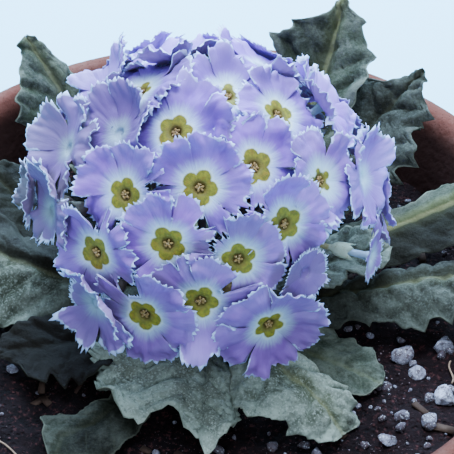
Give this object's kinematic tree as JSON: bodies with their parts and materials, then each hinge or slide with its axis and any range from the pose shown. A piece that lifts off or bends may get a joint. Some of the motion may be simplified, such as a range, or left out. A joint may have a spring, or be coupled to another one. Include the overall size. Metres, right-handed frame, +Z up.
{
  "type": "primrose in a pot",
  "caption": "Potted primrose: a domed head of lavender blooms with pale toothed edges over a rosette of wavy, mealy leaves, in a plain round clay pot.",
  "frame": {"origin": "on the floor, at the middle of the pot's foot", "axes": "+Z up, -Y towards the front of the flower head"},
  "size_m": [0.215, 0.215, 0.2031],
  "materials": {
    "clay": "matte",
    "soil": "matte",
    "rootstock": "matte",
    "stalk": "matte",
    "leaf": "matte",
    "petal": "matte"
  },
  "bodies": {
    "root": {"pot": "clay", "soil": "soil", "crown": "rootstock", "flower_stalk_1": "stalk", "flower_stalk_2": "stalk", "flower_stalk_3": "stalk", "leaf_01": "leaf", "leaf_02": "leaf", "leaf_03": "leaf", "leaf_04": "leaf", "leaf_05": "leaf", "leaf_06": "leaf", "leaf_07": "leaf", "leaf_08": "leaf", "leaf_09": "leaf", "leaf_10": "leaf", "leaf_11": "leaf", "leaf_12": "leaf", "leaf_13": "leaf", "leaf_14": "leaf", "bloom_a": "petal", "bloom_b": "petal", "bloom_c": "petal", "bloom_d": "petal", "bloom_e": "petal", "bloom_f": "petal", "bloom_g": "petal", "bloom_h": "petal", "bloom_i": "petal", "bloom_j": "petal", "bloom_k": "petal", "bloom_l": "petal", "bloom_m": "petal", "bloom_n": "petal", "bloom_o": "petal", "bloom_p": "petal", "bloom_q": "petal", "bloom_r": "petal", "bloom_s": "petal", "bloom_t": "petal", "bloom_u": "petal", "bloom_v": "petal", "bloom_w": "petal", "bloom_x": "petal", "bloom_y": "petal", "bloom_z": "petal", "bloom_back_a": "petal", "bloom_back_b": "petal", "bloom_back_c": "petal", "bloom_back_d": "petal", "bloom_back_e": "petal", "bloom_back_f": "petal", "bloom_back_g": "petal", "bloom_back_h": "petal", "bloom_back_i": "petal", "bloom_back_j": "petal", "bloom_back_k": "petal"}
  },
  "joints": []
}
